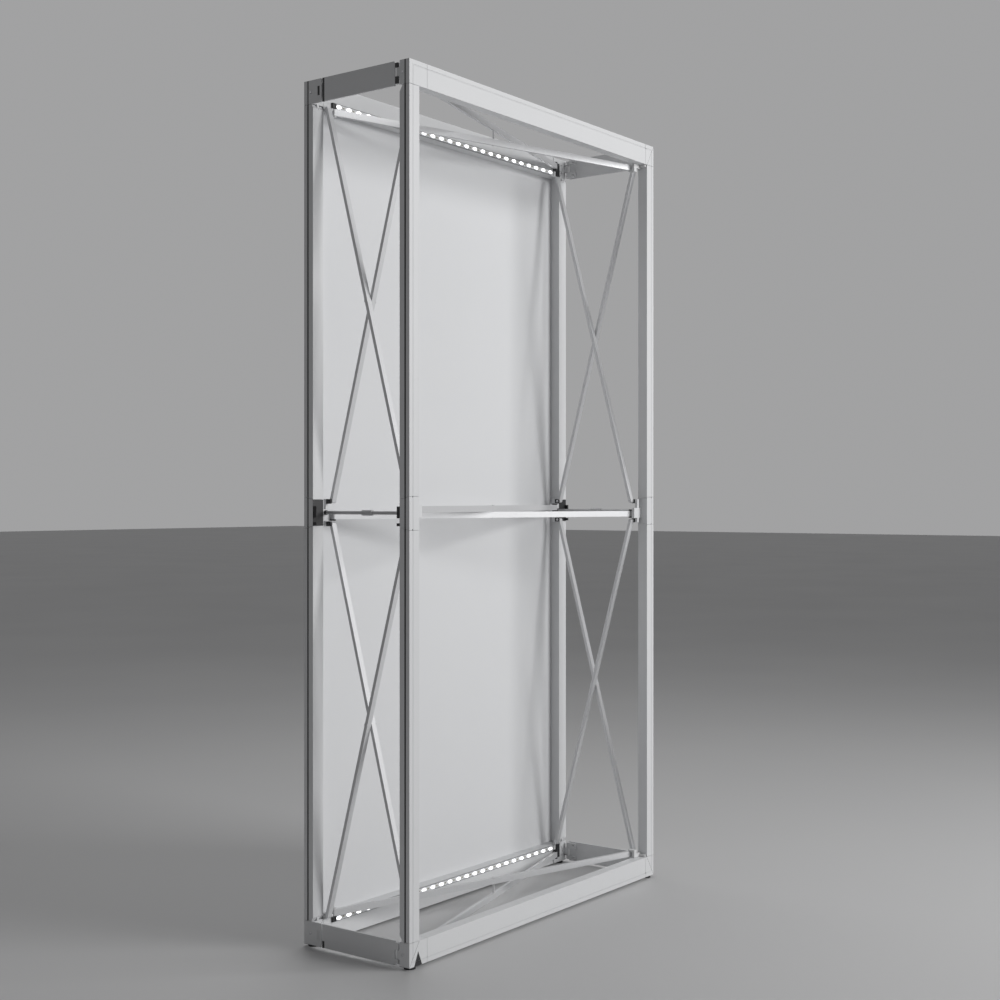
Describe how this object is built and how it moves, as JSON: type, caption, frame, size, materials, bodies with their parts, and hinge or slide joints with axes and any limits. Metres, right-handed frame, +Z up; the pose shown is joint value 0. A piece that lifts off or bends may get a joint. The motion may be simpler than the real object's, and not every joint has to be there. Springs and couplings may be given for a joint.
{
  "type": "pop up display backwall",
  "caption": "Folding scissor frame with a rim of hinged profiles, two rows of lamps and a fabric stretched over its rear.",
  "frame": {"origin": "centre of the footprint, on the floor under the feet", "axes": "+Z up, X along the width, -Y towards the open front, +Y towards the fabric at the rear"},
  "size_m": [1.036, 0.3193, 2],
  "materials": {
    "frame": "satin",
    "bracket": "matte",
    "bar": "satin",
    "lock": "satin",
    "strip": "satin",
    "lens": "clear",
    "fabric": "matte"
  },
  "bodies": {
    "corner_fl_bottom": {"hub_fl_bottom": "frame", "bracket_fl_bottom": "bracket"},
    "corner_fr_bottom": {"hub_fr_bottom": "frame", "bracket_fr_bottom": "bracket"},
    "corner_rl_bottom": {"hub_rl_bottom": "frame", "bracket_rl_bottom": "bracket", "rear_fabric": "fabric"},
    "corner_rr_bottom": {"hub_rr_bottom": "frame", "bracket_rr_bottom": "bracket"},
    "corner_fl_top": {"hub_fl_top": "frame", "bracket_fl_top": "bracket"},
    "corner_fr_top": {"hub_fr_top": "frame", "bracket_fr_top": "bracket"},
    "corner_rl_top": {"hub_rl_top": "frame", "bracket_rl_top": "bracket"},
    "corner_rr_top": {"hub_rr_top": "frame", "bracket_rr_top": "bracket"},
    "middle_fl": {"hub_fl_mid": "frame", "lock_left_front": "lock"},
    "middle_fr": {"hub_fr_mid": "frame", "lock_right_front": "lock"},
    "middle_rl": {"hub_rl_mid": "frame", "lock_left_rear": "lock"},
    "middle_rr": {"hub_rr_mid": "frame", "lock_right_rear": "lock"},
    "rail_rear_top": {"rail_rear_top": "frame", "strip_top": "strip", "lamps_top": "lens"},
    "rail_rear_bottom": {"rail_rear_bottom": "frame", "strip_bottom": "strip", "lamps_bottom": "lens"},
    "plate_left_top": {"plate_left_top": "frame"},
    "plate_left_bottom": {"plate_left_bottom": "frame"},
    "plate_right_top": {"plate_right_top": "frame"},
    "plate_right_bottom": {"plate_right_bottom": "frame"},
    "rail_front_top": {"rail_front_top": "frame"},
    "rail_front_bottom": {"rail_front_bottom": "frame"},
    "bar_left_upper_inner": {"bar_left_upper_inner": "bar"},
    "bar_left_upper_outer": {"bar_left_upper_outer": "bar"},
    "bar_left_lower_inner": {"bar_left_lower_inner": "bar"},
    "bar_left_lower_outer": {"bar_left_lower_outer": "bar"},
    "bar_right_upper_inner": {"bar_right_upper_inner": "bar"},
    "bar_right_upper_outer": {"bar_right_upper_outer": "bar"},
    "bar_right_lower_inner": {"bar_right_lower_inner": "bar"},
    "bar_right_lower_outer": {"bar_right_lower_outer": "bar"},
    "bar_top_high": {"bar_top_high": "bar"},
    "bar_top_low": {"bar_top_low": "bar"},
    "bar_bottom_high": {"bar_bottom_high": "bar"},
    "bar_bottom_low": {"bar_bottom_low": "bar"},
    "bar_mid_high": {"bar_mid_high": "bar"},
    "bar_mid_low": {"bar_mid_low": "bar"},
    "post_fl_upper": {"post_fl_upper": "frame"},
    "post_fl_lower": {"post_fl_lower": "frame"},
    "post_fr_upper": {"post_fr_upper": "frame"},
    "post_fr_lower": {"post_fr_lower": "frame"},
    "post_rl_upper": {"post_rl_upper": "frame"},
    "post_rl_lower": {"post_rl_lower": "frame"},
    "post_rr_upper": {"post_rr_upper": "frame"},
    "post_rr_lower": {"post_rr_lower": "frame"}
  },
  "joints": [
    {"name": "fold", "type": "hinge", "parent": "corner_fl_bottom", "child": "bar_bottom_low", "pos_m": [-0.456, -0.123, 0.032], "axis": [0, 0, 1], "range_deg": [0, 54], "deforming": ["rear_fabric"]},
    {"name": "corner_rr_bottom_turn", "type": "hinge", "parent": "bar_bottom_low", "child": "corner_rr_bottom", "pos_m": [0.456, 0.123, 0.032], "axis": [0, 0, 1], "range_deg": [-54, 0]},
    {"name": "bar_left_lower_inner_turn", "type": "hinge", "parent": "corner_fl_bottom", "child": "bar_left_lower_inner", "pos_m": [-0.46, -0.123, 0.065], "axis": [1, 0, 0], "range_deg": [-54, 0]},
    {"name": "middle_rl_turn", "type": "hinge", "parent": "bar_left_lower_inner", "child": "middle_rl", "pos_m": [-0.46, 0.123, 0.977], "axis": [1, 0, 0], "range_deg": [0, 54]},
    {"name": "bar_mid_low_turn", "type": "hinge", "parent": "middle_rl", "child": "bar_mid_low", "pos_m": [-0.456, 0.123, 0.995], "axis": [0, 0, 1], "range_deg": [-54, 0]},
    {"name": "middle_fr_turn", "type": "hinge", "parent": "bar_mid_low", "child": "middle_fr", "pos_m": [0.456, -0.123, 0.995], "axis": [0, 0, 1], "range_deg": [0, 54]},
    {"name": "bar_left_upper_inner_turn", "type": "hinge", "parent": "middle_rl", "child": "bar_left_upper_inner", "pos_m": [-0.46, 0.123, 1.029], "axis": [1, 0, 0], "range_deg": [0, 54]},
    {"name": "corner_fl_top_turn", "type": "hinge", "parent": "bar_left_upper_inner", "child": "corner_fl_top", "pos_m": [-0.46, -0.123, 1.941], "axis": [1, 0, 0], "range_deg": [-54, 0]},
    {"name": "bar_top_high_turn", "type": "hinge", "parent": "corner_fl_top", "child": "bar_top_high", "pos_m": [-0.456, -0.123, 1.974], "axis": [0, 0, 1], "range_deg": [0, 54]},
    {"name": "bar_right_lower_inner_turn", "type": "hinge", "parent": "corner_rr_bottom", "child": "bar_right_lower_inner", "pos_m": [0.46, 0.123, 0.065], "axis": [1, 0, 0], "range_deg": [0, 54]},
    {"name": "bar_right_upper_inner_turn", "type": "hinge", "parent": "middle_fr", "child": "bar_right_upper_inner", "pos_m": [0.46, -0.123, 1.029], "axis": [1, 0, 0], "range_deg": [-54, 0]},
    {"name": "corner_rr_top_turn", "type": "hinge", "parent": "bar_right_upper_inner", "child": "corner_rr_top", "pos_m": [0.46, 0.123, 1.941], "axis": [1, 0, 0], "range_deg": [0, 54]},
    {"name": "bar_left_lower_outer_turn", "type": "hinge", "parent": "bar_left_lower_inner", "child": "bar_left_lower_outer", "pos_m": [-0.46, 0, 0.521], "axis": [1, 0, 0], "range_deg": [0, 108]},
    {"name": "middle_fl_turn", "type": "hinge", "parent": "bar_left_lower_outer", "child": "middle_fl", "pos_m": [-0.475, -0.123, 0.977], "axis": [1, 0, 0], "range_deg": [-54, 0]},
    {"name": "bar_mid_high_turn", "type": "hinge", "parent": "middle_fl", "child": "bar_mid_high", "pos_m": [-0.456, -0.123, 1.011], "axis": [0, 0, 1], "range_deg": [0, 54]},
    {"name": "middle_rr_turn", "type": "hinge", "parent": "bar_mid_high", "child": "middle_rr", "pos_m": [0.456, 0.123, 1.011], "axis": [0, 0, 1], "range_deg": [-54, 0]},
    {"name": "corner_rl_bottom_turn", "type": "hinge", "parent": "bar_left_lower_outer", "child": "corner_rl_bottom", "pos_m": [-0.475, 0.123, 0.065], "axis": [1, 0, 0], "range_deg": [-54, 0]},
    {"name": "bar_left_upper_outer_turn", "type": "hinge", "parent": "middle_fl", "child": "bar_left_upper_outer", "pos_m": [-0.475, -0.123, 1.029], "axis": [1, 0, 0], "range_deg": [-54, 0]},
    {"name": "corner_rl_top_turn", "type": "hinge", "parent": "bar_left_upper_outer", "child": "corner_rl_top", "pos_m": [-0.475, 0.123, 1.941], "axis": [1, 0, 0], "range_deg": [0, 54]},
    {"name": "bar_bottom_high_turn", "type": "hinge", "parent": "corner_rl_bottom", "child": "bar_bottom_high", "pos_m": [-0.456, 0.123, 0.069], "axis": [0, 0, 1], "range_deg": [-54, 0]},
    {"name": "corner_fr_bottom_turn", "type": "hinge", "parent": "bar_bottom_high", "child": "corner_fr_bottom", "pos_m": [0.456, -0.123, 0.069], "axis": [0, 0, 1], "range_deg": [0, 54]},
    {"name": "bar_top_low_turn", "type": "hinge", "parent": "corner_rl_top", "child": "bar_top_low", "pos_m": [-0.456, 0.123, 1.937], "axis": [0, 0, 1], "range_deg": [-54, 0]},
    {"name": "bar_right_lower_outer_turn", "type": "hinge", "parent": "corner_fr_bottom", "child": "bar_right_lower_outer", "pos_m": [0.475, -0.123, 0.065], "axis": [1, 0, 0], "range_deg": [-54, 0]},
    {"name": "bar_right_upper_outer_turn", "type": "hinge", "parent": "middle_rr", "child": "bar_right_upper_outer", "pos_m": [0.475, 0.123, 1.029], "axis": [1, 0, 0], "range_deg": [0, 54]},
    {"name": "corner_fr_top_turn", "type": "hinge", "parent": "bar_right_upper_outer", "child": "corner_fr_top", "pos_m": [0.475, -0.123, 1.941], "axis": [1, 0, 0], "range_deg": [-54, 0]},
    {"name": "post_fl_lower_turn", "type": "hinge", "parent": "corner_fl_bottom", "child": "post_fl_lower", "pos_m": [-0.501, -0.135, 0.066], "axis": [0.9781, 0.2079, 0], "range_deg": [-81, 0]},
    {"name": "post_fl_upper_turn", "type": "hinge", "parent": "corner_fl_top", "child": "post_fl_upper", "pos_m": [-0.501, -0.135, 1.94], "axis": [0.9781, 0.2079, 0], "range_deg": [0, 81]},
    {"name": "post_fr_lower_turn", "type": "hinge", "parent": "corner_fr_bottom", "child": "post_fr_lower", "pos_m": [0.501, -0.135, 0.066], "axis": [0.9781, -0.2079, 0], "range_deg": [-81, 0]},
    {"name": "post_fr_upper_turn", "type": "hinge", "parent": "corner_fr_top", "child": "post_fr_upper", "pos_m": [0.501, -0.135, 1.94], "axis": [0.9781, -0.2079, 0], "range_deg": [0, 81]},
    {"name": "post_rl_lower_turn", "type": "hinge", "parent": "corner_rl_bottom", "child": "post_rl_lower", "pos_m": [-0.501, 0.135, 0.066], "axis": [1, 0, 0], "range_deg": [0, 81]},
    {"name": "post_rl_upper_turn", "type": "hinge", "parent": "corner_rl_top", "child": "post_rl_upper", "pos_m": [-0.501, 0.135, 1.94], "axis": [1, 0, 0], "range_deg": [-81, 0]},
    {"name": "post_rr_lower_turn", "type": "hinge", "parent": "corner_rr_bottom", "child": "post_rr_lower", "pos_m": [0.501, 0.135, 0.066], "axis": [1, 0, 0], "range_deg": [0, 81]},
    {"name": "post_rr_upper_turn", "type": "hinge", "parent": "corner_rr_top", "child": "post_rr_upper", "pos_m": [0.501, 0.135, 1.94], "axis": [1, 0, 0], "range_deg": [-81, 0]},
    {"name": "rail_front_top_turn", "type": "hinge", "parent": "corner_fl_top", "child": "rail_front_top", "pos_m": [-0.449, -0.135, 1.973], "axis": [0, 0, 1], "range_deg": [0, 67.5]},
    {"name": "rail_front_bottom_turn", "type": "hinge", "parent": "corner_fl_bottom", "child": "rail_front_bottom", "pos_m": [-0.449, -0.135, 0.033], "axis": [0, 0, 1], "range_deg": [0, 67.5]},
    {"name": "rail_rear_top_turn", "type": "hinge", "parent": "corner_rr_top", "child": "rail_rear_top", "pos_m": [0.449, 0.135, 1.973], "axis": [0, 0, 1], "range_deg": [0, 67.5]},
    {"name": "rail_rear_bottom_turn", "type": "hinge", "parent": "corner_rr_bottom", "child": "rail_rear_bottom", "pos_m": [0.449, 0.135, 0.033], "axis": [0, 0, 1], "range_deg": [0, 67.5]},
    {"name": "plate_left_top_turn", "type": "hinge", "parent": "corner_fl_top", "child": "plate_left_top", "pos_m": [-0.512, -0.121, 1.973], "axis": [0, 0, 1], "range_deg": [0, 81]},
    {"name": "plate_left_bottom_turn", "type": "hinge", "parent": "corner_fl_bottom", "child": "plate_left_bottom", "pos_m": [-0.512, -0.121, 0.033], "axis": [0, 0, 1], "range_deg": [0, 81]},
    {"name": "plate_right_top_turn", "type": "hinge", "parent": "corner_rr_top", "child": "plate_right_top", "pos_m": [0.512, 0.121, 1.973], "axis": [0, 0, 1], "range_deg": [0, 81]},
    {"name": "plate_right_bottom_turn", "type": "hinge", "parent": "corner_rr_bottom", "child": "plate_right_bottom", "pos_m": [0.512, 0.121, 0.033], "axis": [0, 0, 1], "range_deg": [0, 81]}
  ],
  "couplings": [
    {"joint": "corner_rr_bottom_turn", "follows": "fold", "ratio": -1},
    {"joint": "bar_left_lower_inner_turn", "follows": "fold", "ratio": -1},
    {"joint": "middle_rl_turn", "follows": "fold", "ratio": 1},
    {"joint": "bar_mid_low_turn", "follows": "fold", "ratio": -1},
    {"joint": "middle_fr_turn", "follows": "fold", "ratio": 1},
    {"joint": "bar_left_upper_inner_turn", "follows": "fold", "ratio": 1},
    {"joint": "corner_fl_top_turn", "follows": "fold", "ratio": -1},
    {"joint": "bar_top_high_turn", "follows": "fold", "ratio": 1},
    {"joint": "bar_right_lower_inner_turn", "follows": "fold", "ratio": 1},
    {"joint": "bar_right_upper_inner_turn", "follows": "fold", "ratio": -1},
    {"joint": "corner_rr_top_turn", "follows": "fold", "ratio": 1},
    {"joint": "bar_left_lower_outer_turn", "follows": "fold", "ratio": 2},
    {"joint": "middle_fl_turn", "follows": "fold", "ratio": -1},
    {"joint": "bar_mid_high_turn", "follows": "fold", "ratio": 1},
    {"joint": "middle_rr_turn", "follows": "fold", "ratio": -1},
    {"joint": "corner_rl_bottom_turn", "follows": "fold", "ratio": -1},
    {"joint": "bar_left_upper_outer_turn", "follows": "fold", "ratio": -1},
    {"joint": "corner_rl_top_turn", "follows": "fold", "ratio": 1},
    {"joint": "bar_bottom_high_turn", "follows": "fold", "ratio": -1},
    {"joint": "corner_fr_bottom_turn", "follows": "fold", "ratio": 1},
    {"joint": "bar_top_low_turn", "follows": "fold", "ratio": -1},
    {"joint": "bar_right_lower_outer_turn", "follows": "fold", "ratio": -1},
    {"joint": "bar_right_upper_outer_turn", "follows": "fold", "ratio": 1},
    {"joint": "corner_fr_top_turn", "follows": "fold", "ratio": -1},
    {"joint": "post_fl_lower_turn", "follows": "fold", "ratio": -1.5},
    {"joint": "post_fl_upper_turn", "follows": "fold", "ratio": 1.5},
    {"joint": "post_fr_lower_turn", "follows": "fold", "ratio": -1.5},
    {"joint": "post_fr_upper_turn", "follows": "fold", "ratio": 1.5},
    {"joint": "post_rl_lower_turn", "follows": "fold", "ratio": 1.5},
    {"joint": "post_rl_upper_turn", "follows": "fold", "ratio": -1.5},
    {"joint": "post_rr_lower_turn", "follows": "fold", "ratio": 1.5},
    {"joint": "post_rr_upper_turn", "follows": "fold", "ratio": -1.5},
    {"joint": "rail_front_top_turn", "follows": "fold", "ratio": 1.25},
    {"joint": "rail_front_bottom_turn", "follows": "fold", "ratio": 1.25},
    {"joint": "rail_rear_top_turn", "follows": "fold", "ratio": 1.25},
    {"joint": "rail_rear_bottom_turn", "follows": "fold", "ratio": 1.25},
    {"joint": "plate_left_top_turn", "follows": "fold", "ratio": 1.5},
    {"joint": "plate_left_bottom_turn", "follows": "fold", "ratio": 1.5},
    {"joint": "plate_right_top_turn", "follows": "fold", "ratio": 1.5},
    {"joint": "plate_right_bottom_turn", "follows": "fold", "ratio": 1.5}
  ]
}
